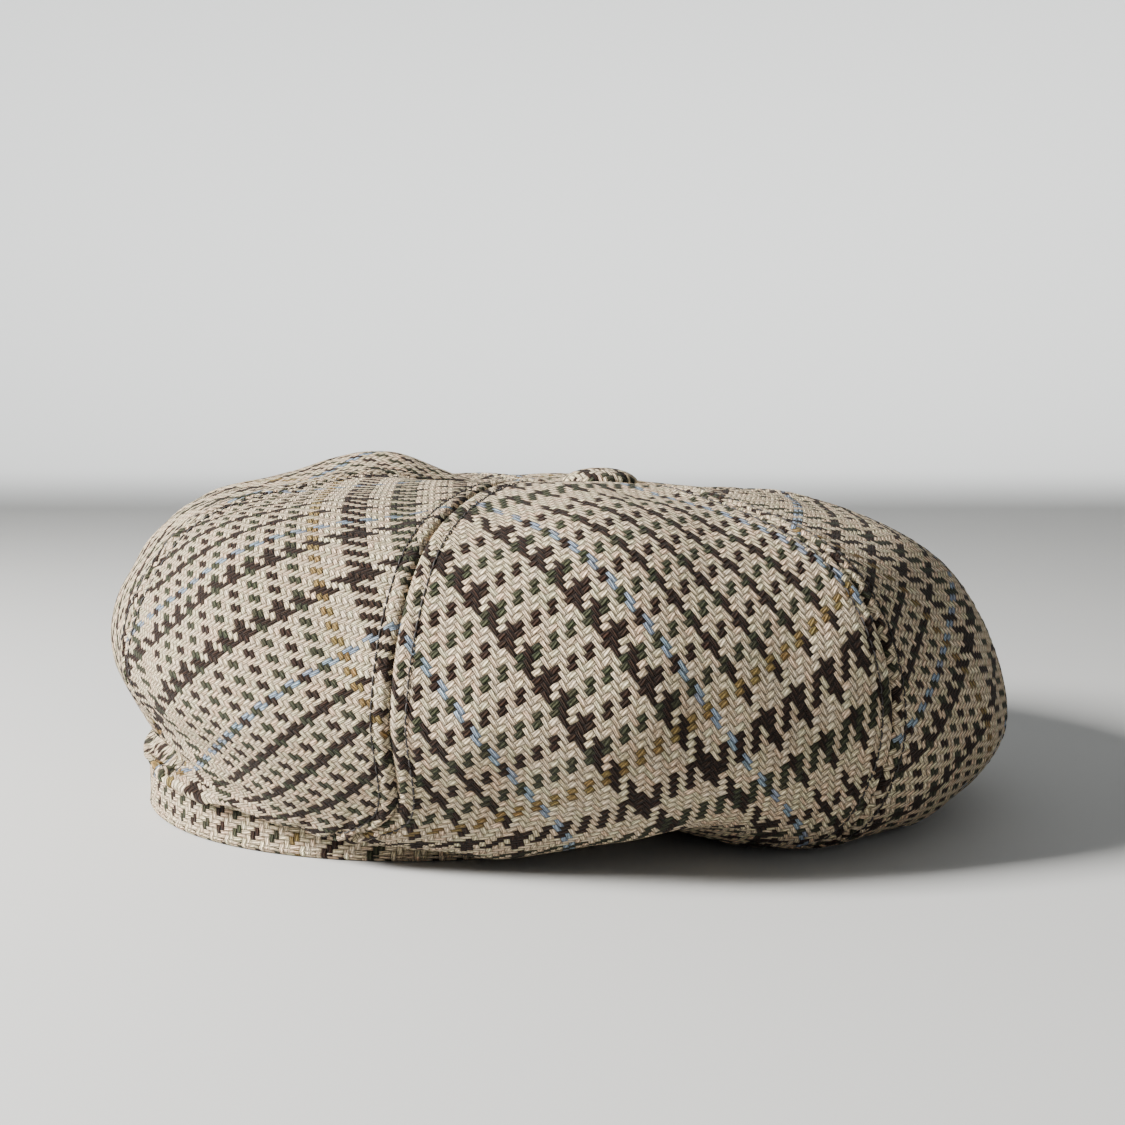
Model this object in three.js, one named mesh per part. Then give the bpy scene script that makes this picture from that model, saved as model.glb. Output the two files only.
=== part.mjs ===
// A soft tweed tam o' shanter: eight sewn gores, a straight headband and a cloth-covered button.
// Millimetres, +Z up. The cap stands on its headband, with the crown slouched towards +X.
import * as THREE from 'three';

// Crown: the full soft top, measured over its widest bulge
const crownLength = 280;
const crownWidth = 270;
const crownHeight = 103;
const clothWall = 1.8;
const gores = 8;
const firstSeamAt = 30;
const seamGap = 0.3;

// Headband: a strip of the same cloth, folded in two and sewn into a ring. It is an oval, turned on
// the table, and sits under the crown's left end, which hangs out over it by leftOverhang.
const bandLength = 198;
const bandWidth = 186;
const bandTurn = 60;
const bandHeight = 16;
const bandWall = 3.2;
const bandEdge = 0.8;
const leftOverhang = 8.5;

// The crown's seam with the band: how far it stands out from it, and how far the gores lean to meet it
const seamOut = 0.6;
const bandLean = 12;

// Button: a cloth-covered disc on a shank, where the gores meet, seated at a share of crownHeight
const buttonDiameter = 24;
const buttonHeight = 6;
const buttonShift = 12;
const rimShare = 0.35;
const footShare = 0.92;
const shankDiameter = 6;
const shankClearance = 1;
const seatMargin = 3;
const seatGap = 0.3;
const seatShare = 0.94;

// Where the crown lies on the table it stays this far above it
const tableGap = 0.4;

// Mesh fineness
const stepsAcrossGore = 8;
const stepsDownGore = 24;
const stepsRoundBand = 96;
const stepsRoundButton = 24;

// The crown's sections, one row for each direction in degrees round the cap, counted from +X.
// A reach is a share of half the crown's length or width, and a height a share of crownHeight.
// The hang is how far the crown's fold hangs out from the band, and its low the fold's height.
const sections = [
  { direction: 0, crest: 0.54, crestUp: 0.915, slope: 0.87, slopeUp: 0.68, bulge: 1, bulgeUp: 0.23,
    under: 0.86, underUp: 0.03, hang: 0.2, low: 0.06 },
  { direction: 45, crest: 0.53, crestUp: 0.91, slope: 0.87, slopeUp: 0.71, bulge: 1, bulgeUp: 0.29,
    under: 0.86, underUp: 0.06, hang: 0.15, low: 0.06 },
  { direction: 90, crest: 0.5, crestUp: 0.95, slope: 0.87, slopeUp: 0.79, bulge: 1, bulgeUp: 0.41,
    under: 0.88, underUp: 0.13, hang: 0.09, low: 0.065 },
  { direction: 135, crest: 0.52, crestUp: 0.96, slope: 0.87, slopeUp: 0.84, bulge: 1, bulgeUp: 0.5,
    under: 0.93, underUp: 0.22, hang: 0.065, low: 0.14 },
  { direction: 180, crest: 0.6, crestUp: 0.985, slope: 0.87, slopeUp: 0.88, bulge: 1, bulgeUp: 0.58,
    under: 0.97, underUp: 0.31, hang: 0.035, low: 0.21 },
  { direction: 225, crest: 0.54, crestUp: 0.97, slope: 0.89, slopeUp: 0.84, bulge: 1.03, bulgeUp: 0.5,
    under: 0.985, underUp: 0.23, hang: 0.06, low: 0.125 },
  { direction: 270, crest: 0.48, crestUp: 0.97, slope: 0.86, slopeUp: 0.81, bulge: 1, bulgeUp: 0.42,
    under: 0.87, underUp: 0.11, hang: 0.065, low: 0.04 },
  { direction: 315, crest: 0.51, crestUp: 0.945, slope: 0.87, slopeUp: 0.75, bulge: 1, bulgeUp: 0.3,
    under: 0.88, underUp: 0.04, hang: 0.13, low: 0.05 },
];

// Puffs and dents, one row each: where they lie, in degrees round the cap and as a share of the way
// from the button to the band, how far they spread, how far they stand out from the cloth and how far
// they lift it straight up, both as shares of crownHeight
const folds = [
  { name: 'left top puff', direction: 188, down: 0.312, spread: 20, reach: 0.055, rise: 0.075, lift: 0 },
  { name: 'valley beside it', direction: 214, down: 0.27, spread: 14, reach: 0.05, rise: -0.03, lift: 0 },
  { name: 'near left puff', direction: 232, down: 0.52, spread: 14, reach: 0.13, rise: 0.035, lift: 0 },
  { name: 'near middle puff', direction: 277, down: 0.53, spread: 15, reach: 0.13, rise: 0.035, lift: 0 },
  { name: 'near right corner', direction: 306, down: 0.55, spread: 9, reach: 0.08, rise: 0.05, lift: 0 },
  { name: 'right puff', direction: 332, down: 0.5, spread: 14, reach: 0.11, rise: 0.025, lift: 0 },
  { name: 'crease over band', direction: 216, down: 0.72, spread: 16, reach: 0.035, rise: -0.03, lift: 0 },
  { name: 'arch off the table', direction: 288, down: 0.82, spread: 10, reach: 0.11, rise: 0, lift: 0.085 },
  { name: 'far puff', direction: 97, down: 0.54, spread: 15, reach: 0.11, rise: 0.03, lift: 0 },
  { name: 'far left puff', direction: 142, down: 0.54, spread: 15, reach: 0.11, rise: 0.03, lift: 0 },
  { name: 'far right puff', direction: 50, down: 0.54, spread: 15, reach: 0.11, rise: 0.025, lift: 0 },
];

// The cloth is held at the button and at the band's seam: over these shares of the way down, the puffs
// and dents grow from nothing, fade out again, and the lifts fade out
const freeFromButton = [0.13, 0.22];
const heldByBand = [0.78, 0.92];
const liftHeldByBand = [0.86, 1];

const radians = THREE.MathUtils.degToRad;
const crownHalf = [crownLength / 2, crownWidth / 2];
const bandHalf = [bandLength / 2, bandWidth / 2];
const bandAxis = [Math.cos(radians(bandTurn)), Math.sin(radians(bandTurn))];
const bandReach = Math.hypot(bandHalf[0] * bandAxis[0], bandHalf[1] * bandAxis[1]);
const bandShift = leftOverhang + bandReach - crownHalf[0];
const shankHole = shankDiameter / 2 + shankClearance;
const seatReach = buttonDiameter / 2 + seatMargin;
const seatHeight = crownHeight * seatShare;

// A column of the sections table, read at any direction
function around(column, angle) {
  const count = sections.length;
  const place = ((((angle - sections[0].direction) / 360) * count) % count + count) % count;
  const row = Math.floor(place);
  const value = (step) => sections[(row + step + count) % count][column];
  const [a, b, c, d] = [value(-1), value(0), value(1), value(2)];
  const t = place - row;
  return b + 0.5 * t * (c - a + t * (2 * a - 5 * b + 4 * c - d + t * (3 * (b - c) + d - a)));
}

function ovalPoint(shift, half, angle, height) {
  const turn = radians(angle);
  return new THREE.Vector3(shift + half[0] * Math.cos(turn), half[1] * Math.sin(turn), height);
}

// A point out from the headband's face, which is an oval lying turned on the table
function bandPoint(out, angle, height) {
  const point = ovalPoint(0, bandHalf.map((half) => half + out), angle - bandTurn, height);
  point.applyAxisAngle(new THREE.Vector3(0, 0, 1), radians(bandTurn));
  point.x += bandShift;
  return point;
}

// The line that the smooth crown follows in one direction, from the button down to the band's seam
function makeMeridian(angle) {
  const read = (column) => around(column, angle);
  const crownAt = (reach, up, shift = 0) => (
    ovalPoint(shift, crownHalf.map((half) => half * reach), angle, crownHeight * up));
  const bandAngle = angle - bandLean * Math.sin(radians(angle));
  const low = crownHeight * read('low');
  const hang = crownHeight * read('hang');
  return new THREE.CatmullRomCurve3([
    ovalPoint(buttonShift, [shankHole, shankHole], angle, seatHeight),
    ovalPoint(buttonShift, [seatReach, seatReach], angle, seatHeight),
    crownAt(read('crest') * 0.5, (seatShare + read('crestUp')) / 2, buttonShift / 2),
    crownAt(read('crest'), read('crestUp')),
    crownAt(read('slope'), read('slopeUp')),
    crownAt(read('bulge'), read('bulgeUp')),
    crownAt(read('under'), read('underUp')),
    bandPoint(hang, bandAngle, low),
    bandPoint(seamOut, bandAngle, bandHeight + seatGap),
  ], false, 'centripetal');
}

const meridians = new Map();

function smoothCrownPoint(angle, down) {
  if (!meridians.has(angle)) {
    meridians.set(angle, makeMeridian(angle));
  }
  return meridians.get(angle).getPoint(THREE.MathUtils.clamp(down, 0, 1));
}

function normalOf(surface, angle, down) {
  const turn = 0.5;
  const step = 0.008;
  const round = surface(angle + turn, down).sub(surface(angle - turn, down));
  const drop = surface(angle, Math.min(1, down + step)).sub(surface(angle, Math.max(0, down - step)));
  return drop.cross(round).normalize();
}

// The crown's outer face: the smooth sections with the puffs and dents raised from them
function crownPoint(angle, down) {
  const { smoothstep } = THREE.MathUtils;
  let rise = 0;
  let lift = 0;
  for (const fold of folds) {
    const aside = ((angle - fold.direction + 540) % 360) - 180;
    const away = (aside / fold.spread) ** 2 + ((down - fold.down) / fold.reach) ** 2;
    rise += fold.rise * crownHeight * Math.exp(-away);
    lift += fold.lift * crownHeight * Math.exp(-away);
  }
  const free = smoothstep(down, ...freeFromButton) * (1 - smoothstep(down, ...heldByBand));
  const point = smoothCrownPoint(angle, down);
  point.addScaledVector(normalOf(smoothCrownPoint, angle, down), rise * free);
  point.z += lift * (1 - smoothstep(down, ...liftHeldByBand));
  return point;
}

// How wide one degree of the crown is, square to the seam that runs down it
function widthPerDegree(seam, down) {
  const step = 0.01;
  const along = crownPoint(seam, Math.min(1, down + step)).sub(crownPoint(seam, Math.max(0, down - step)));
  return crownPoint(seam + 0.5, down).sub(crownPoint(seam - 0.5, down)).projectOnPlane(along).length();
}

// A closed wall between two grids of points, rows down the piece and columns across it
function wallGeometry(outer, inner) {
  const rows = outer.length;
  const columns = outer[0].length;
  const positions = [...outer.flat(), ...inner.flat()].flatMap((point) => point.toArray());
  const at = (side, row, column) => (side * rows + row) * columns + column;
  const index = [];
  const quad = (a, b, c, d) => index.push(a, b, c, a, c, d);
  for (let row = 0; row + 1 < rows; row += 1) {
    for (let column = 0; column + 1 < columns; column += 1) {
      quad(at(0, row, column), at(0, row + 1, column), at(0, row + 1, column + 1), at(0, row, column + 1));
      quad(at(1, row, column), at(1, row, column + 1), at(1, row + 1, column + 1), at(1, row + 1, column));
    }
    const last = columns - 1;
    quad(at(0, row, 0), at(1, row, 0), at(1, row + 1, 0), at(0, row + 1, 0));
    quad(at(0, row, last), at(0, row + 1, last), at(1, row + 1, last), at(1, row, last));
  }
  for (let column = 0; column + 1 < columns; column += 1) {
    const last = rows - 1;
    quad(at(0, 0, column), at(0, 0, column + 1), at(1, 0, column + 1), at(1, 0, column));
    quad(at(0, last, column), at(1, last, column), at(1, last, column + 1), at(0, last, column + 1));
  }
  const geometry = new THREE.BufferGeometry();
  geometry.setAttribute('position', new THREE.Float32BufferAttribute(positions, 3));
  geometry.setIndex(index);
  geometry.computeVertexNormals();
  return geometry;
}

// One gore: a wedge of cloth from the button, over the bulge and back under to the band
function goreGeometry(number) {
  const spread = 360 / gores;
  const start = firstSeamAt + number * spread;
  const outer = [];
  const inner = [];
  for (let row = 0; row <= stepsDownGore; row += 1) {
    const down = row / stepsDownGore;
    outer.push([]);
    inner.push([]);
    for (let column = 0; column <= stepsAcrossGore; column += 1) {
      const share = column / stepsAcrossGore;
      const seam = start + spread * Math.round(share);
      const trim = seamGap / 2 / widthPerDegree(seam, down);
      const angle = start + trim + share * (spread - 2 * trim);
      const point = crownPoint(angle, down);
      point.z = Math.max(point.z, tableGap);
      outer[row].push(point);
      const inside = point.clone().addScaledVector(normalOf(crownPoint, angle, down), -clothWall);
      inside.z = Math.max(inside.z, tableGap + clothWall);
      inner[row].push(inside);
    }
  }
  return wallGeometry(outer, inner);
}

// The headband: one folded strip, flat where it stands and round at its edges
function bandGeometry() {
  const flat = bandEdge * (1 - Math.SQRT1_2);
  const section = [
    [-bandEdge, 0], [-flat, flat], [0, bandEdge],
    [0, bandHeight - bandEdge], [-flat, bandHeight - flat], [-bandEdge, bandHeight],
    [-bandWall + bandEdge, bandHeight], [-bandWall, bandHeight - bandEdge],
    [-bandWall, bandEdge], [-bandWall + flat, flat], [-bandWall + bandEdge, 0],
  ];
  const positions = [];
  const index = [];
  for (let step = 0; step < stepsRoundBand; step += 1) {
    for (const [out, up] of section) {
      positions.push(...bandPoint(out, (step / stepsRoundBand) * 360, up).toArray());
    }
    for (let corner = 0; corner < section.length; corner += 1) {
      const nextStep = (step + 1) % stepsRoundBand;
      const nextCorner = (corner + 1) % section.length;
      const a = step * section.length + corner;
      const b = nextStep * section.length + corner;
      const c = nextStep * section.length + nextCorner;
      const d = step * section.length + nextCorner;
      index.push(a, b, c, a, c, d);
    }
  }
  const geometry = new THREE.BufferGeometry();
  geometry.setAttribute('position', new THREE.Float32BufferAttribute(positions, 3));
  geometry.setIndex(index);
  geometry.computeVertexNormals();
  return geometry;
}

// The button: a low dome over a disc, with its shank through the hole that the gores leave
function buttonGeometry() {
  const radius = buttonDiameter / 2;
  const rim = buttonHeight * rimShare;
  const shankLength = clothWall + 2 * seatGap;
  const profile = [
    new THREE.Vector2(0, -shankLength),
    new THREE.Vector2(shankDiameter / 2, -shankLength),
    new THREE.Vector2(shankDiameter / 2, 0),
    new THREE.Vector2(radius * footShare, 0),
    new THREE.Vector2(radius, rim),
  ];
  const domeSteps = 5;
  for (let step = 1; step <= domeSteps; step += 1) {
    const turn = (step / domeSteps) * (Math.PI / 2);
    const out = step === domeSteps ? 0 : radius * Math.cos(turn);
    profile.push(new THREE.Vector2(out, rim + (buttonHeight - rim) * Math.sin(turn)));
  }
  const geometry = new THREE.LatheGeometry(profile, stepsRoundButton);
  geometry.rotateX(Math.PI / 2);
  return geometry;
}

function tweed(color) {
  return new THREE.MeshStandardMaterial({ color, roughness: 0.95, metalness: 0 });
}

const cap = new THREE.Group();

for (let number = 0; number < gores; number += 1) {
  const gore = new THREE.Mesh(goreGeometry(number), tweed(number % 2 ? 0x9a8c7c : 0xa2937f));
  gore.name = `crown_gore_${number + 1}`;
  cap.add(gore);
}

const headband = new THREE.Mesh(bandGeometry(), tweed(0x94866f));
headband.name = 'headband';
cap.add(headband);

const button = new THREE.Mesh(buttonGeometry(), tweed(0x8c7a62));
button.name = 'crown_button';
button.position.set(buttonShift, 0, seatHeight + seatGap);
cap.add(button);

// The origin is where the cap rests, under the middle of its outline
const outline = new THREE.Box3().setFromObject(cap, true);
const middle = outline.getCenter(new THREE.Vector3());
cap.position.set(-middle.x, -middle.y, -outline.min.z);

export default cap;
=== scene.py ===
import math

import bmesh
import bpy
import numpy as np
from mathutils import Euler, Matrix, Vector, noise


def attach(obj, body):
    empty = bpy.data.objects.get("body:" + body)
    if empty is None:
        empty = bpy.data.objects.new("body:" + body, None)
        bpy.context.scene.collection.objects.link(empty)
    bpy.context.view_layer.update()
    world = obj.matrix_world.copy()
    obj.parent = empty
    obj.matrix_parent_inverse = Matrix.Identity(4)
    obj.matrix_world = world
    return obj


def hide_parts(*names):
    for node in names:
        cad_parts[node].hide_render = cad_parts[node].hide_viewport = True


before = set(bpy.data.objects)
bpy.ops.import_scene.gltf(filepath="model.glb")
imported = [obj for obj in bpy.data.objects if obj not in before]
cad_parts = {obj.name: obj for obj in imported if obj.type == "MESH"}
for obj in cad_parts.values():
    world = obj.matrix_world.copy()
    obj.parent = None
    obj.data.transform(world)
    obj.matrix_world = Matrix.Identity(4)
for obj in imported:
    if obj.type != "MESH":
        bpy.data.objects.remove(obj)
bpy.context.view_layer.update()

# The camera stands in front of the cap, a little above the table, as in the photograph, and looks
# slightly down at it. Its distance, height and lens come from the table's horizon and the cap's outline.
CAMERA_PLACE = (0.0, -0.519, 0.1201)
CAMERA_PITCH_DOWN = 5.27
LENS_MM = 51.2
SENSOR_MM = 36.0

camera_data = bpy.data.cameras.new("camera")
camera_data.lens = LENS_MM
camera_data.sensor_width = SENSOR_MM
camera = bpy.data.objects.new("camera", camera_data)
camera.location = CAMERA_PLACE
camera.rotation_euler = Euler((math.radians(90 - CAMERA_PITCH_DOWN), 0, 0))
bpy.context.scene.collection.objects.link(camera)
bpy.context.scene.camera = camera

# Eight gores make the crown: wedges of wool tweed that run from the button over the bulge and back under
# to the headband, where they are gathered in. Their edges are sewn together, the allowances are pressed
# open, and a line of dark topstitching holds them down on each side of every seam.
MM = 0.001
GORES = 8
FIRST_SEAM_AT = 30.0
GORE_SPREAD = 360.0 / GORES
CLOTH_THICKNESS = 1.8 * MM
CROWN_HALF = np.array([140.0, 135.0])
CROWN_HEIGHT = 103.0
BAND_HALF = np.array([99.0, 93.0])
BAND_TURN = 60.0
BAND_HEIGHT = 16.0
BAND_LEAN = 12.0
SEAM_OUT = 0.6
SEAT_GAP = 0.3
SEAT_HEIGHT = CROWN_HEIGHT * 0.94
SEAT_REACH = 15.0
SHANK_HOLE = 4.0
BUTTON_SHIFT = 12.0
TABLE_GAP = 0.4
PART_SHIFT = np.array([0.048, 0.144, 0.0])
LEFT_OVERHANG = 8.5
BAND_AXIS = (math.cos(math.radians(BAND_TURN)), math.sin(math.radians(BAND_TURN)))
BAND_REACH_LEFT = math.hypot(BAND_HALF[0] * BAND_AXIS[0], BAND_HALF[1] * BAND_AXIS[1])
BAND_SHIFT = LEFT_OVERHANG + BAND_REACH_LEFT - CROWN_HALF[0]

# One row for each 45 degrees round the crown: crest, crest up, slope, slope up, bulge, bulge up, under,
# under up, hang and low, as shares of the crown's half length or width and of its height
CROWN_SECTIONS = np.array([
    [0.54, 0.915, 0.87, 0.68, 1.00, 0.23, 0.86, 0.03, 0.20, 0.06],
    [0.53, 0.91, 0.87, 0.71, 1.00, 0.29, 0.86, 0.06, 0.15, 0.06],
    [0.50, 0.95, 0.87, 0.79, 1.00, 0.41, 0.88, 0.13, 0.09, 0.065],
    [0.52, 0.96, 0.87, 0.84, 1.00, 0.50, 0.93, 0.22, 0.065, 0.14],
    [0.60, 0.985, 0.87, 0.88, 1.00, 0.58, 0.97, 0.31, 0.035, 0.21],
    [0.54, 0.97, 0.89, 0.84, 1.03, 0.50, 0.985, 0.23, 0.06, 0.125],
    [0.48, 0.97, 0.86, 0.81, 1.00, 0.42, 0.87, 0.11, 0.065, 0.04],
    [0.51, 0.945, 0.87, 0.75, 1.00, 0.30, 0.88, 0.04, 0.13, 0.05],
])

# Puffs and dents: direction, share of the way down, spread, reach, rise and lift
CROWN_FOLDS = [
    (188, 0.312, 20, 0.055, 0.075, 0), (214, 0.27, 14, 0.05, -0.03, 0), (232, 0.52, 14, 0.13, 0.035, 0),
    (277, 0.53, 15, 0.13, 0.035, 0), (306, 0.55, 9, 0.08, 0.05, 0), (332, 0.5, 14, 0.11, 0.025, 0),
    (216, 0.72, 16, 0.035, -0.03, 0), (288, 0.82, 10, 0.11, 0, 0.085), (97, 0.54, 15, 0.11, 0.03, 0),
    (142, 0.54, 15, 0.11, 0.03, 0), (50, 0.54, 15, 0.11, 0.025, 0),
]


def around(column, angle):
    """One column of the crown's sections, smoothly between its rows."""
    count = len(CROWN_SECTIONS)
    place = (angle / 360.0 * count) % count
    row = np.floor(place).astype(int)
    t = place - row
    a, b, c, d = (CROWN_SECTIONS[(row + step) % count, column] for step in (-1, 0, 1, 2))
    return b + 0.5 * t * (c - a + t * (2 * a - 5 * b + 4 * c - d + t * (3 * (b - c) + d - a)))


def oval_point(shift, half, angle, height):
    turn = np.radians(angle)
    return np.stack([shift + half[0] * np.cos(turn), half[1] * np.sin(turn), height + 0 * turn], axis=-1)


def band_point(out, angle, height):
    """A point on the headband's oval, which is turned and lies off the crown's middle."""
    point = oval_point(0, (BAND_HALF[0] + out, BAND_HALF[1] + out), angle - BAND_TURN, height)
    x = point[..., 0] * BAND_AXIS[0] - point[..., 1] * BAND_AXIS[1] + BAND_SHIFT
    y = point[..., 0] * BAND_AXIS[1] + point[..., 1] * BAND_AXIS[0]
    return np.stack([x, y, point[..., 2]], axis=-1)


def smooth_crown(angle, down):
    """The crown without its puffs: eight smooth spans through nine rings, from the button to the band."""
    crest, crest_up, slope, slope_up, bulge, bulge_up, under, under_up, hang, low = (
        around(column, angle) for column in range(10))

    def crown_at(reach, up, shift=0.0):
        return oval_point(shift, (CROWN_HALF[0] * reach, CROWN_HALF[1] * reach), angle, CROWN_HEIGHT * up)

    band_angle = angle - BAND_LEAN * np.sin(np.radians(angle))
    rings = [
        oval_point(BUTTON_SHIFT, (SHANK_HOLE, SHANK_HOLE), angle, SEAT_HEIGHT),
        oval_point(BUTTON_SHIFT, (SEAT_REACH, SEAT_REACH), angle, SEAT_HEIGHT),
        crown_at(crest * 0.5, (0.94 + crest_up) / 2, BUTTON_SHIFT / 2),
        crown_at(crest, crest_up),
        crown_at(slope, slope_up),
        crown_at(bulge, bulge_up),
        crown_at(under, under_up),
        band_point(CROWN_HEIGHT * hang, band_angle, CROWN_HEIGHT * low),
        band_point(SEAM_OUT, band_angle, BAND_HEIGHT + SEAT_GAP),
    ]
    rings = np.stack([2 * rings[0] - rings[1], *rings, 2 * rings[-1] - rings[-2]])
    spans = len(rings) - 3
    place = np.clip(down, 0, 1) * spans
    span = np.minimum(np.floor(place).astype(int), spans - 1)
    w = (place - span)[:, None]
    each = np.arange(len(down))
    x0, x1, x2, x3 = (rings[span + step, each] for step in range(4))
    dt0, dt1, dt2 = (
        np.sqrt(np.linalg.norm(b - a, axis=-1))[:, None] for a, b in ((x0, x1), (x1, x2), (x2, x3)))
    t1 = ((x1 - x0) / dt0 - (x2 - x0) / (dt0 + dt1) + (x2 - x1) / dt1) * dt1
    t2 = ((x2 - x1) / dt1 - (x3 - x1) / (dt1 + dt2) + (x3 - x2) / dt2) * dt1
    return x1 + t1 * w + (-3 * x1 + 3 * x2 - 2 * t1 - t2) * w**2 + (2 * x1 - 2 * x2 + t1 + t2) * w**3


def outward(surface, angle, down):
    """The directions that face out of a surface."""
    turn, step = 0.5, 0.008
    across = surface(angle + turn, down) - surface(angle - turn, down)
    drop = surface(angle, np.minimum(1, down + step)) - surface(angle, np.maximum(0, down - step))
    normal = np.cross(drop, across)
    return normal / np.linalg.norm(normal, axis=-1)[:, None]


def smoothstep(value, low, high):
    share = np.clip((value - low) / (high - low), 0, 1)
    return share * share * (3 - 2 * share)


def crown_point(angle, down):
    """The crown with its puffs and dents, resting on the table."""
    rise = np.zeros_like(angle)
    lift = np.zeros_like(angle)
    for direction, centre, spread, reach, up, raised in CROWN_FOLDS:
        aside = (angle - direction + 540) % 360 - 180
        near = np.exp(-((aside / spread) ** 2) - ((down - centre) / reach) ** 2)
        rise += up * CROWN_HEIGHT * near
        lift += raised * CROWN_HEIGHT * near
    free = smoothstep(down, 0.13, 0.22) * (1 - smoothstep(down, 0.78, 0.92))
    point = smooth_crown(angle, down) + outward(smooth_crown, angle, down) * (rise * free)[:, None]
    point[:, 2] += lift * (1 - smoothstep(down, 0.86, 1))
    point[:, 2] = np.maximum(point[:, 2], TABLE_GAP)
    return point


# The cloth's own small shapes, in millimetres: the groove and raised allowances along each seam, the pull of
# the topstitching, soft buckles over the panels, and gathers where the crown is eased into the band. The
# seams that drift have their turn half way down and at the band, in degrees.
SEAM_DRIFT = {5: (-2.5, -9.0), 6: (7.0, 5.0)}
GROOVE_DEPTH = 0.9
ALLOWANCE_RISE = 0.55
ALLOWANCE_MIDDLE = 2.4
STITCH_LINE_FROM_SEAM = 4.6
STITCH_DRAW = 0.5
BEYOND_STITCHES_RISE = 0.4
STITCH_BEAT = 1.15
GATHER_REACH = 15
GATHER_RISE = 2.3
GATHER_SINK = 2.0
BUCKLE_SIZES = (26, 11)
BUCKLE_DEPTHS = (1.3, 0.45)
ACROSS_STEPS = 60
DOWN_STEPS = 176


def buckle(point, size, seed):
    """A smooth unevenness from -1 to 1, always the same at the same point."""
    return noise.noise(Vector(point) / size + Vector((seed, 0, 0)))


def seam_angle(number, down):
    """Where a seam lies, in degrees. The two in front are dragged aside as the crown slouches."""
    middle, low = SEAM_DRIFT.get(number % GORES, (0, 0))
    drift = middle * smoothstep(down, 0.15, 0.6) + (low - middle) * smoothstep(down, 0.6, 0.95)
    return FIRST_SEAM_AT + number * GORE_SPREAD + drift


def bell(value, middle, spread, power=2):
    """1 at the middle, falling smoothly to nought on both sides."""
    return np.exp(-(((value - middle) / spread) ** power))


def seam_relief(number, seam, from_start, along, angle, down):
    """How far the cloth stands out or lies in along the seams, the stitching and the gathers."""
    nearest = np.where(from_start, number, number + 1)
    beat = along / STITCH_BEAT + nearest * 1.7 + np.where(from_start, 1.0, 0.0) * 2.3
    swell = 0.6 + 0.4 * np.sin(along / 9.1 + nearest)
    pull = 0.72 + 0.28 * np.sin(beat + 1.4 * np.sin(beat * 0.37)) * swell
    relief = -GROOVE_DEPTH * bell(seam, 0, 0.8)
    relief += ALLOWANCE_RISE * pull * bell(seam, ALLOWANCE_MIDDLE, 1.6, 4)
    relief -= STITCH_DRAW * (1.5 - pull) * bell(seam, STITCH_LINE_FROM_SEAM, 0.8)
    relief += BEYOND_STITCHES_RISE * (1.3 - pull) * bell(seam, 6.3, 1.5)
    gather = smoothstep(down, 0.66, 0.86) * bell(seam, 0, GATHER_REACH)
    crease = np.abs(np.sin(angle * 0.95 + 0.9 * np.sin(angle * 0.61)))
    return relief + gather * (GATHER_RISE * np.sqrt(crease) - GATHER_SINK)


def running_length(points):
    """The length from the first point to each of the others, along the line through them."""
    return np.concatenate([[0], np.cumsum(np.linalg.norm(np.diff(points, axis=0), axis=-1))])


def gore_cloth(number):
    """Places, directions out, lengths across and along, and seam distances of one gore's grid, row by row."""
    t = np.linspace(0, 1, ACROSS_STEPS + 1)
    share = 0.3 * t + 0.7 * (0.5 - 0.5 * np.cos(np.pi * t))
    down = np.linspace(0, 1, DOWN_STEPS + 1)
    middle_angle = FIRST_SEAM_AT + (number + 0.5) * GORE_SPREAD
    share_grid, down_grid = np.meshgrid(share, down)
    start_seam, end_seam = seam_angle(number, down_grid), seam_angle(number + 1, down_grid)
    angle_grid = start_seam * (1 - share_grid) + end_seam * share_grid
    angle, drop = angle_grid.ravel(), down_grid.ravel()
    place = crown_point(angle, drop)
    normal = outward(crown_point, angle, drop)
    shape = angle_grid.shape

    def lengths_across():
        lengths = np.zeros(shape)
        steps = np.linalg.norm(np.diff(place.reshape(*shape, 3), axis=1), axis=-1)
        lengths[:, 1:] = np.cumsum(steps, axis=1)
        return lengths

    from_start = lengths_across()
    from_end = from_start[:, -1:] - from_start
    along = running_length(crown_point(np.full(len(down), middle_angle), down))
    along = np.repeat(along[:, None], shape[1], axis=1)

    free = smoothstep(down_grid, 0.09, 0.16) * (1 - smoothstep(down_grid, 0.97, 1.0))
    seam = np.minimum(from_start, from_end)
    relief = seam_relief(number, seam, from_start < from_end, along, angle_grid, down_grid)
    (wide, narrow), (deep, shallow) = BUCKLE_SIZES, BUCKLE_DEPTHS
    soft = np.array([buckle(p, wide, 3.1) * deep + buckle(p, narrow, 7.7) * shallow for p in place])
    relief += (soft.reshape(shape) - 0.2) * smoothstep(seam, 2, 14)
    place = place + normal * (relief * free).reshape(-1)[:, None]
    crease_over_band = 0.085 * bell(drop, 0.80, 0.05) + 0.03 * bell(drop, 0.88, 0.04)
    place[:, :2] *= 1 - (crease_over_band * bell(angle, 172, 56, 4))[:, None]
    place[:, 2] = np.maximum(place[:, 2], TABLE_GAP)
    across = lengths_across()
    across -= np.array([np.interp(middle_angle, *row) for row in zip(angle_grid, across)])[:, None]
    return place + PART_SHIFT, normal, across.ravel(), along.ravel(), seam.ravel()


# The grain runs at a slant to each gore's middle line, and turns by a right angle from one gore to the
# next, so the stripes meet at the seams. Each gore is cut from its own place in the cloth's pattern: its
# first end and pick in millimetres, and how far the cloth is stretched when it is sewn.
GRAIN_SLANT = math.radians(36.5)
GORE_CUTS = [
    (62, 20, 1.0), (118, 64, 1.0), (25, 88, 1.0), (140, 12, 1.0),
    (168.6, 76, 0.9), (124.4, -126.2, 1.08), (160, -20, 1.0), (96, 40, 1.0),
]


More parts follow.
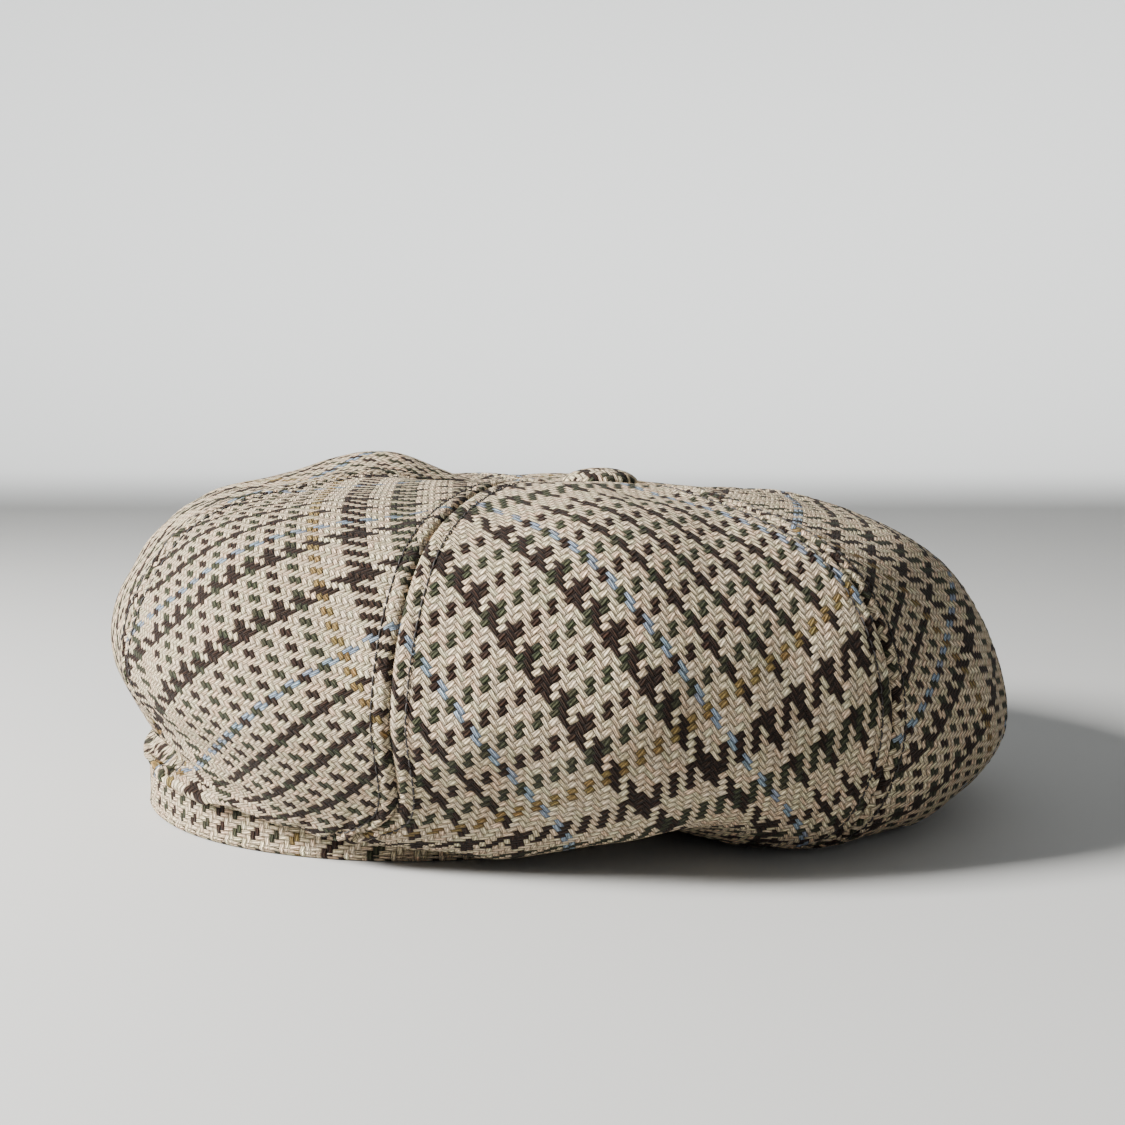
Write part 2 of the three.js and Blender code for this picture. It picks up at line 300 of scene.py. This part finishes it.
def thread_lengths(number, across, along):
    """How far each point lies across the warp ends and across the weft picks, in millimetres."""
    slant_out, slant_down = math.cos(GRAIN_SLANT), math.sin(GRAIN_SLANT)
    end, pick, stretch = GORE_CUTS[number]
    if number % 2:
        over_ends = across * slant_out - along * slant_down
        over_picks = across * slant_down + along * slant_out
    else:
        over_ends = -across * slant_down - along * slant_out
        over_picks = across * slant_out - along * slant_down
    return over_ends / stretch + end, over_picks / stretch + pick


def add_node(tree, kind, **settings):
    node = tree.nodes.new(kind)
    for name, value in settings.items():
        setattr(node, name, value)
    return node


def maths(tree, operation, *inputs):
    node = add_node(tree, "ShaderNodeMath", operation=operation)
    for socket, value in zip(node.inputs, inputs):
        if isinstance(value, (int, float)):
            socket.default_value = value
        else:
            tree.links.new(value, socket)
    return node.outputs[0]


def mix_colour(tree, share, first, second, blend="MIX"):
    node = add_node(tree, "ShaderNodeMix", data_type="RGBA", blend_type=blend)
    for socket, value in ((node.inputs[0], share), (node.inputs[6], first), (node.inputs[7], second)):
        if isinstance(value, (int, float, tuple)):
            socket.default_value = value
        else:
            tree.links.new(value, socket)
    return node.outputs[2]


def colour_chart(tree, fac, threads, bands):
    """A ramp of flat colours, one for each run of threads: (first thread, colour)."""
    ramp = add_node(tree, "ShaderNodeValToRGB")
    tree.links.new(fac, ramp.inputs[0])
    ramp.color_ramp.interpolation = "CONSTANT"
    stops = ramp.color_ramp.elements
    stops[0].position, stops[0].color = 0, bands[0][1]
    stops.remove(stops[1])
    for first, colour in bands[1:]:
        stops.new(first / threads).color = colour
    return ramp.outputs[0]


# Yarn colours, as light reflected from the dyed wool
OATMEAL = (0.81, 0.68, 0.505, 1)
CREAM = (0.90, 0.77, 0.585, 1)
BROWN = (0.030, 0.015, 0.009, 1)
GREEN = (0.046, 0.050, 0.028, 1)
MUSTARD = (0.26, 0.18, 0.07, 1)
BLUE = (0.31, 0.40, 0.55, 1)

WARP_ENDS = 80
WARP_CHART = [
    (0, BLUE), (2, OATMEAL), (16, BROWN), (20, OATMEAL), (32, BROWN), (36, OATMEAL),
    (40, BLUE), (42, OATMEAL),
]
for first in range(48, WARP_ENDS, 8):
    WARP_CHART += [(first, BROWN), (first + 2, OATMEAL)]
WEFT_PICKS = 64
WEFT_CHART = [(0, MUSTARD), (2, CREAM), (6, BROWN), (10, CREAM), (14, GREEN), (18, OATMEAL)]
for first in range(24, WEFT_PICKS, 8):
    WEFT_CHART += [(first, BROWN), (first + 2, OATMEAL), (first + 4, GREEN), (first + 6, OATMEAL)]


def group_sockets(group, inputs, outputs):
    kinds = {"value": "NodeSocketFloat", "vector": "NodeSocketVector", "colour": "NodeSocketColor"}
    for name, kind in inputs:
        group.interface.new_socket(name, in_out="INPUT", socket_type=kinds[kind])
    for name, kind in outputs:
        group.interface.new_socket(name, in_out="OUTPUT", socket_type=kinds[kind])
    return add_node(group, "NodeGroupInput"), add_node(group, "NodeGroupOutput")


def noise_texture(tree, place, dimensions, scale, detail, roughness=0.5):
    node = add_node(tree, "ShaderNodeTexNoise", noise_dimensions=dimensions)
    tree.links.new(place, node.inputs["Vector"])
    node.inputs["Scale"].default_value = scale
    node.inputs["Detail"].default_value = detail
    node.inputs["Roughness"].default_value = roughness
    return node


# The weave: a two-and-two twill of two-ply yarn. Warp ends run one way and weft picks the other, each
# over two and under two, and every pick steps one end to the side. Both sets of yarn have colour charts.
twill = bpy.data.node_groups.new("two_and_two_twill", "ShaderNodeTree")
source, result = group_sockets(
    twill,
    [("Thread Lengths", "vector"), ("End Pitch", "value"), ("Pick Pitch", "value"), ("Unevenness", "value"),
     ("Fibre Size", "value")],
    [("Colour", "colour"), ("Height", "value"), ("Roughness", "value")])
lengths = source.outputs["Thread Lengths"]


def plus(first, second):
    return maths(twill, "ADD", first, second)


def times(first, second):
    return maths(twill, "MULTIPLY", first, second)


def three_parts(vector):
    node = add_node(twill, "ShaderNodeSeparateXYZ")
    twill.links.new(vector, node.inputs[0])
    return node.outputs


def joined(first, second, third):
    node = add_node(twill, "ShaderNodeCombineXYZ")
    for socket, value in zip(node.inputs, (first, second, third)):
        twill.links.new(value, socket)
    return node.outputs[0]


# Which end and pick a point lies on, and where on them. The yarns wander a little from their places.
wander = noise_texture(twill, lengths, "2D", 240, 3)
shift = add_node(twill, "ShaderNodeVectorMath", operation="SUBTRACT")
twill.links.new(wander.outputs["Color"], shift.inputs[0])
shift.inputs[1].default_value = (0.5, 0.5, 0.5)
length_parts, drift = three_parts(lengths), three_parts(shift.outputs[0])
uneven = source.outputs["Unevenness"]
x = plus(maths(twill, "DIVIDE", length_parts[0], source.outputs["End Pitch"]), times(drift[0], uneven))
y = plus(maths(twill, "DIVIDE", length_parts[1], source.outputs["Pick Pitch"]), times(drift[1], uneven))
end, pick = maths(twill, "FLOOR", x), maths(twill, "FLOOR", y)
in_end, in_pick = maths(twill, "FRACT", x), maths(twill, "FRACT", y)
end_and_pick = plus(plus(end, pick), 0.5)
step = maths(twill, "FLOORED_MODULO", end_and_pick, 4.0)
weft_on_top = maths(twill, "LESS_THAN", step, 2.0)
whole_step = maths(twill, "FLOOR", step)
along_weft = times(plus(whole_step, in_end), 0.5)
along_warp = times(plus(maths(twill, "SUBTRACT", whole_step, 2.0), in_pick), 0.5)


def weft_or_warp(of_weft, of_warp):
    return plus(times(weft_on_top, of_weft), times(maths(twill, "SUBTRACT", 1.0, weft_on_top), of_warp))


along_float = weft_or_warp(along_weft, along_warp)
across_float = weft_or_warp(in_pick, in_end)


def hump(value, power):
    """Nearly 1 over most of a float, and 0 at its ends or sides."""
    centred = maths(twill, "ABSOLUTE", maths(twill, "SUBTRACT", times(value, 2.0), 1.0))
    rounded = maths(twill, "SUBTRACT", 1.0, maths(twill, "POWER", centred, power))
    return maths(twill, "SQRT", maths(twill, "MAXIMUM", rounded, 0.0))


# Each float is round across and arched along, and its two plies are twisted round each other
float_hump = times(hump(across_float, 1.7), hump(along_float, 3.0))
TWIST = 0.35
ply_turn = times(plus(across_float, times(along_float, TWIST)), 2 * math.tau)
ply = plus(times(maths(twill, "COSINE", ply_turn), -0.5), 0.5)
fibres = noise_texture(twill, lengths, "2D", 1, 4, 0.7)
twill.links.new(maths(twill, "DIVIDE", 1.0, source.outputs["Fibre Size"]), fibres.inputs["Scale"])
height = times(float_hump, plus(times(ply, 0.45), 0.55))
height = plus(height, times(fibres.outputs[0], 0.35))
twill.links.new(height, result.inputs["Height"])
twill.links.new(maths(twill, "SUBTRACT", 0.97, times(height, 0.08)), result.inputs["Roughness"])


def chart_share(thread, threads):
    """How far along its colour chart a thread's middle lies."""
    return maths(twill, "DIVIDE", plus(maths(twill, "FLOORED_MODULO", thread, threads), 0.5), threads)


warp_colour = colour_chart(twill, chart_share(end, WARP_ENDS), WARP_ENDS, WARP_CHART)
weft_colour = colour_chart(twill, chart_share(pick, WEFT_PICKS), WEFT_PICKS, WEFT_CHART)
yarn_colour = mix_colour(twill, weft_on_top, warp_colour, weft_colour)


def ramp(fac, stops):
    """A smooth colour ramp through (place, colour) stops, given from the first to the last."""
    node = add_node(twill, "ShaderNodeValToRGB")
    twill.links.new(fac, node.inputs[0])
    elements = node.color_ramp.elements
    elements[0].position, elements[0].color = stops[0]
    elements[1].position, elements[1].color = stops[-1]
    for place, colour in stops[1:-1]:
        elements.new(place).color = colour
    return node.outputs[0]


# Heathered wool: each float of yarn is a little pinker, greener or more straw coloured than the next, and
# lighter or darker, and fine flecks lie in it
lot = add_node(twill, "ShaderNodeTexWhiteNoise", noise_dimensions="3D")
float_step = maths(twill, "FLOOR", times(end_and_pick, 0.25))
twill.links.new(joined(weft_or_warp(pick, end), float_step, weft_on_top), lot.inputs["Vector"])
tints = ramp(lot.outputs["Value"], [
    (0.0, (0.84, 0.90, 0.80, 1)), (0.3, (1.0, 0.98, 0.88, 1)), (0.5, (0.98, 0.96, 0.94, 1)),
    (0.75, (0.90, 0.84, 0.78, 1)), (1.0, (1.0, 0.86, 0.80, 1))])
yarn_colour = mix_colour(twill, 1.0, yarn_colour, tints, "MULTIPLY")
heather = noise_texture(twill, lengths, "2D", 900, 3)
flecks = ramp(heather.outputs[0], [(0.36, (0.72, 0.66, 0.58, 1)), (0.56, (1.0, 1.0, 1.0, 1))])
yarn_colour = mix_colour(twill, 0.8, yarn_colour, flecks, "MULTIPLY")
# Fibres lie along each float, and show as fine light and dark streaks that follow the yarn's twist, partly
# the fibres' own tone and partly painted light and shade. Painted shade darkens the yarn in the gaps at its
# sides and ends and between its plies, where the weave's relief would shade it.
streak_place = joined(times(ply_turn, 0.36), times(along_float, 1.3), times(lot.outputs["Value"], 40.0))
streaks = noise_texture(twill, streak_place, "3D", 1.0, 3, 0.65)
# Painted shade from the float's hump and the plies, times the fibre and streak tone, multiplied into the yarn
# colour
light = plus(float_hump, 0.06)
for pattern, strength, least in (
        (ply, 0.72, 0.50), (fibres.outputs[0], 1.2, 0.44), (streaks.outputs[0], 2.6, -0.32)):
    light = times(light, plus(times(pattern, strength), least))
shade_and_streak_grey = add_node(twill, "ShaderNodeCombineColor")
for socket in shade_and_streak_grey.inputs:
    twill.links.new(light, socket)
yarn_colour = mix_colour(twill, 1.0, yarn_colour, shade_and_streak_grey.outputs[0], "MULTIPLY")
twill.links.new(yarn_colour, result.inputs["Colour"])


END_PITCH = 1.25 * MM
PICK_PITCH = 1.62 * MM
YARN_RELIEF = 0.9 * MM


def tweed_material(name):
    material = bpy.data.materials.new(name)
    material.use_nodes = True
    tree = material.node_tree
    shader = tree.nodes["Principled BSDF"]
    threads = add_node(tree, "ShaderNodeUVMap", uv_map="threads")
    weave = add_node(tree, "ShaderNodeGroup", node_tree=twill)
    tree.links.new(threads.outputs[0], weave.inputs["Thread Lengths"])
    weave.inputs["End Pitch"].default_value = END_PITCH
    weave.inputs["Pick Pitch"].default_value = PICK_PITCH
    weave.inputs["Unevenness"].default_value = 0.42
    weave.inputs["Fibre Size"].default_value = 0.00035
    tree.links.new(weave.outputs["Colour"], shader.inputs["Base Color"])
    tree.links.new(weave.outputs["Roughness"], shader.inputs["Roughness"])
    bump = add_node(tree, "ShaderNodeBump")
    bump.inputs["Distance"].default_value = YARN_RELIEF
    bump.inputs["Strength"].default_value = 1.0
    tree.links.new(weave.outputs["Height"], bump.inputs["Height"])
    tree.links.new(bump.outputs[0], shader.inputs["Normal"])
    shader.inputs["Specular IOR Level"].default_value = 0.15
    shader.inputs["Sheen Weight"].default_value = 0.03
    shader.inputs["Sheen Roughness"].default_value = 0.5
    return material


crown_tweed = tweed_material("crown_tweed")


def new_piece(name, mesh, material, nodes):
    """A smooth visible piece, fixed to the cap, that stands in for the given CAD nodes."""
    piece = bpy.data.objects.new(name, mesh)
    bpy.context.scene.collection.objects.link(piece)
    mesh.materials.append(material)
    for face in mesh.polygons:
        face.use_smooth = True
    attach(piece, "root")
    if nodes:
        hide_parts(*nodes)
    return piece


def sheet_of_cloth(name, places, thread_uv, columns, rows):
    """A grid of cloth with one vertex for each place, row by row, and its thread lengths as a UV map."""
    shell = bmesh.new()
    bmesh.ops.create_grid(shell, x_segments=columns, y_segments=rows, size=0.5)
    shell.verts.ensure_lookup_table()
    for vertex, place in zip(shell.verts, places):
        vertex.co = place * MM
    uv_layer = shell.loops.layers.uv.new("threads")
    for face in shell.faces:
        for corner in face.loops:
            corner[uv_layer].uv = thread_uv[corner.vert.index] * MM
    bmesh.ops.reverse_faces(shell, faces=shell.faces)
    mesh = bpy.data.meshes.new(name)
    shell.to_mesh(mesh)
    shell.free()
    return mesh


gore_records = []
for number in range(GORES):
    places, normals, across, along, seam = gore_cloth(number)
    over_ends, over_picks = thread_lengths(number, across, along)
    threads = np.stack([over_ends, over_picks], axis=-1)
    name = f"tweed_gore_{number + 1}"
    mesh = sheet_of_cloth(name, places, threads, ACROSS_STEPS, DOWN_STEPS)
    gore = new_piece(name, mesh, crown_tweed, [f"crown_gore_{number + 1}"])
    cloth = gore.modifiers.new("cloth", "SOLIDIFY")
    cloth.thickness = CLOTH_THICKNESS
    cloth.offset = -1
    gore_records.append((places, normals, seam))

# Dark thread, sewn by machine in two lines along every seam. Each stitch lies on the cloth and dives into
# it at both ends, so the cloth is drawn down a little along the lines.
THREAD_RADIUS = 0.26 * MM
STITCH_LENGTH = 3.0
STITCH_STEP = 0.5
STITCH_LIFT = 0.34
STITCH_DIVE = 0.75


def vectors_at(where, stations, vectors):
    """Vectors read off between the stations that they belong to, part by part."""
    return np.stack([np.interp(where, stations, vectors[:, axis]) for axis in range(3)], axis=-1)


def stitch_path(record, from_start):
    """The line of stitching beside one of a gore's two seams, lifted and sunk stitch by stitch."""
    places, normals, seam = (part.reshape(DOWN_STEPS + 1, ACROSS_STEPS + 1, -1) for part in record)
    half = ACROSS_STEPS // 2
    columns = np.arange(0, half + 1) if from_start else np.arange(ACROSS_STEPS, half - 1, -1)
    line, out = [], []
    for row in range(DOWN_STEPS + 1):
        distance = seam[row, columns, 0]
        if distance.max() >= STITCH_LINE_FROM_SEAM + 1:
            line.append(vectors_at(STITCH_LINE_FROM_SEAM, distance, places[row, columns]))
            out.append(vectors_at(STITCH_LINE_FROM_SEAM, distance, normals[row, columns]))
    line, out = np.array(line), np.array(out)
    length = running_length(line)
    stations = np.arange(0, length[-1], STITCH_STEP)
    over = STITCH_LIFT - STITCH_DIVE * np.abs(np.cos(np.pi * stations / STITCH_LENGTH)) ** 8
    return vectors_at(stations, length, line) + vectors_at(stations, length, out) * over[:, None]


stitching = bpy.data.curves.new("seam_stitching", "CURVE")
stitching.dimensions = "3D"
stitching.bevel_depth = THREAD_RADIUS
stitching.bevel_resolution = 0
stitching.use_fill_caps = True
for record in gore_records:
    for from_start in (True, False):
        path = stitch_path(record, from_start) * MM
        spline = stitching.splines.new("POLY")
        spline.points.add(len(path) - 1)
        spline.points.foreach_set("co", np.c_[path, np.ones(len(path))].ravel())
stitch_object = bpy.data.objects.new("stitching_path", stitching)
stitch_mesh = bpy.data.meshes.new_from_object(stitch_object)
bpy.data.objects.remove(stitch_object)
thread = bpy.data.materials.new("dark_thread")
thread.use_nodes = True
tree = thread.node_tree
shader = tree.nodes["Principled BSDF"]
lint = add_node(tree, "ShaderNodeTexNoise")
lint.inputs["Scale"].default_value = 3500
place = add_node(tree, "ShaderNodeTexCoord")
tree.links.new(place.outputs["Object"], lint.inputs["Vector"])
dye = add_node(tree, "ShaderNodeValToRGB")
dye.color_ramp.elements[0].color = (0.006, 0.005, 0.005, 1)
dye.color_ramp.elements[1].color = (0.035, 0.028, 0.026, 1)
tree.links.new(lint.outputs[0], dye.inputs[0])
tree.links.new(dye.outputs[0], shader.inputs["Base Color"])
shader.inputs["Roughness"].default_value = 0.7
new_piece("seam_stitching", stitch_mesh, thread, [])

# The headband is a straight strip of the same cloth, folded in two along its lower edge and sewn into a
# ring. Its folded edge stands on the table and looks like a soft cord, and the crown is sewn to its top.
BAND_COLUMNS = 420
BAND_HALF_WALL = 1.6
BAND_FOLD_RADIUS = 1.75
BAND_SHOULDER = 14.6
BAND_RIPPLE = 0.5
BAND_FIRST_END = 3


def band_section():
    """Points round the folded strip's section: out from its face and up, in millimetres."""
    fold = [(-BAND_HALF_WALL + BAND_FOLD_RADIUS * math.cos(turn), BAND_FOLD_RADIUS * (1 - math.sin(turn)))
            for turn in np.linspace(0, math.pi, 13)]
    inner = [(-3.25, up) for up in (3.6, 6, 9, 12, BAND_SHOULDER)]
    top = [(-BAND_HALF_WALL * (1 + math.cos(turn)), BAND_SHOULDER + 1.4 * math.sin(turn))
           for turn in np.linspace(0, math.pi, 9)[1:]]
    outer = [(-0.05, 12), (-0.05, 9), (-0.05, 6), (-0.05, 4.2), (-0.35, 3.1), (-0.3, 2.5)]
    return fold + inner + top + outer + fold[:1]


section = band_section()
band_angles = np.linspace(0, 360, BAND_COLUMNS + 1)
band_places = np.array([band_point(out, band_angles, up) + PART_SHIFT for out, up in section])
over_picks, over_ends = np.meshgrid(running_length(band_places[0]), running_length(np.array(section)))
band_threads = np.stack([over_ends + BAND_FIRST_END, over_picks], axis=-1).reshape(-1, 2)
ripple = np.array([[buckle(p, 17, 5.5) * BAND_RIPPLE for p in row] for row in band_places])
facing = band_places - np.array([BAND_SHIFT, 0, 0])
facing[..., 2] = 0
facing /= np.linalg.norm(facing, axis=-1)[..., None]
above_fold = np.clip(band_places[..., 2:3] / 4, 0, 1)
band_places = band_places + facing * ripple[..., None] * above_fold
mesh = sheet_of_cloth(
    "tweed_headband", band_places.reshape(-1, 3), band_threads, BAND_COLUMNS, len(section) - 1)
shell = bmesh.new()
shell.from_mesh(mesh)
bmesh.ops.remove_doubles(shell, verts=shell.verts, dist=0.00001)
bmesh.ops.recalc_face_normals(shell, faces=shell.faces)
shell.to_mesh(mesh)
shell.free()
new_piece("tweed_headband", mesh, tweed_material("band_tweed"), ["headband"])

# The button is a round mould covered with the same cloth, drawn in underneath and sewn down where the
# gores meet, so its cloth is smooth on top and puckers round its rim.
BUTTON_RADIUS = 12.0
BUTTON_FOOT = SEAT_HEIGHT + SEAT_GAP
BUTTON_PUCKERS = 14
PUCKER_DEPTH = 0.25
BUTTON_FIRST_THREADS = (0.0875, 0.070)
button_profile = [
    (0.02, 6.0), (3, 5.9), (6, 5.45), (8.5, 4.7), (10.4, 3.7), (11.6, 2.6), (BUTTON_RADIUS, 1.7), (11.7, 0.9),
    (10.8, 0.3), (8, 0.05), (3.2, 0.0), (3.0, -0.3), (3.0, -2.3), (0.02, -2.4)]
shell = bmesh.new()
points = [shell.verts.new((radius * MM, 0, height * MM)) for radius, height in button_profile]
edges = [shell.edges.new(pair) for pair in zip(points, points[1:])]
bmesh.ops.spin(
    shell, geom=points + edges, axis=(0, 0, 1), cent=(0, 0, 0), steps=72, angle=math.tau, use_merge=True)
bmesh.ops.remove_doubles(shell, verts=shell.verts, dist=0.00004)
bmesh.ops.recalc_face_normals(shell, faces=shell.faces)
for vertex in shell.verts:
    radius = math.hypot(vertex.co.x, vertex.co.y) / MM
    turn = math.atan2(vertex.co.y, vertex.co.x)
    at_rim = smoothstep(radius, 8.5, 11.5) * (1 - smoothstep(vertex.co.z / MM, 2.5, 4.5))
    pucker = PUCKER_DEPTH * math.cos(turn * BUTTON_PUCKERS) * at_rim
    vertex.co.x *= 1 + pucker / BUTTON_RADIUS
    vertex.co.y *= 1 + pucker / BUTTON_RADIUS
uv_layer = shell.loops.layers.uv.new("threads")
for face in shell.faces:
    for corner in face.loops:
        x, y, _ = corner.vert.co
        first_end, first_pick = BUTTON_FIRST_THREADS
        corner[uv_layer].uv = (x * 0.9 + y * 0.4 + first_end, y * 0.9 - x * 0.4 + first_pick)
bmesh.ops.translate(shell, verts=shell.verts, vec=(
    (BUTTON_SHIFT + PART_SHIFT[0]) * MM, PART_SHIFT[1] * MM, BUTTON_FOOT * MM))
mesh = bpy.data.meshes.new("tweed_button")
shell.to_mesh(mesh)
shell.free()
new_piece("tweed_button", mesh, tweed_material("button_tweed"), ["crown_button"])

# The stage isn't part of the cap: a plain pale floor that is flat round the cap and curves up far away, and
# soft studio light from a window on the left, a weak fill from the right and a lamp for the backdrop.
FLOOR_HALF = 8
FLAT_WITHIN = 3.5
FLOOR_CURVE = 0.35
floor_mesh = bpy.data.meshes.new("floor")
shell = bmesh.new()
bmesh.ops.create_grid(shell, x_segments=96, y_segments=96, size=FLOOR_HALF)
for vertex in shell.verts:
    far = max(0.0, vertex.co.xy.length - FLAT_WITHIN)
    vertex.co.z = FLOOR_CURVE * far * far
shell.to_mesh(floor_mesh)
shell.free()
for face in floor_mesh.polygons:
    face.use_smooth = True
floor = bpy.data.objects.new("floor", floor_mesh)
bpy.context.scene.collection.objects.link(floor)
floor_paint = bpy.data.materials.new("pale_floor")
floor_paint.use_nodes = True
shader = floor_paint.node_tree.nodes["Principled BSDF"]
shader.inputs["Base Color"].default_value = (0.44, 0.44, 0.43, 1)
shader.inputs["Roughness"].default_value = 0.8
floor_mesh.materials.append(floor_paint)


def soft_light(name, place, target, size, power, colour):
    data = bpy.data.lights.new(name, "AREA")
    data.shape = "RECTANGLE"
    data.size, data.size_y = size
    data.energy = power
    data.color = colour
    lamp = bpy.data.objects.new(name, data)
    lamp.location = place
    lamp.rotation_euler = (Vector(target) - Vector(place)).to_track_quat("-Z", "Y").to_euler()
    bpy.context.scene.collection.objects.link(lamp)


soft_light("window", (-1.15, -0.44, 0.80), (0, 0, 0.05), (0.42, 0.42), 106, (1.0, 0.985, 0.96))
soft_light("fill", (0.9, -1.2, 0.5), (0, 0, 0.05), (1.2, 1.0), 3.5, (0.93, 0.96, 1.0))
soft_light("backdrop", (0, 2.2, 2.6), (0, 6.5, 1.5), (5.0, 1.5), 560, (0.97, 0.99, 1.0))
world = bpy.data.worlds.new("studio")
world.use_nodes = True
world.node_tree.nodes["Background"].inputs["Color"].default_value = (0.90, 0.93, 0.96, 1)
world.node_tree.nodes["Background"].inputs["Strength"].default_value = 0.42
bpy.context.scene.world = world
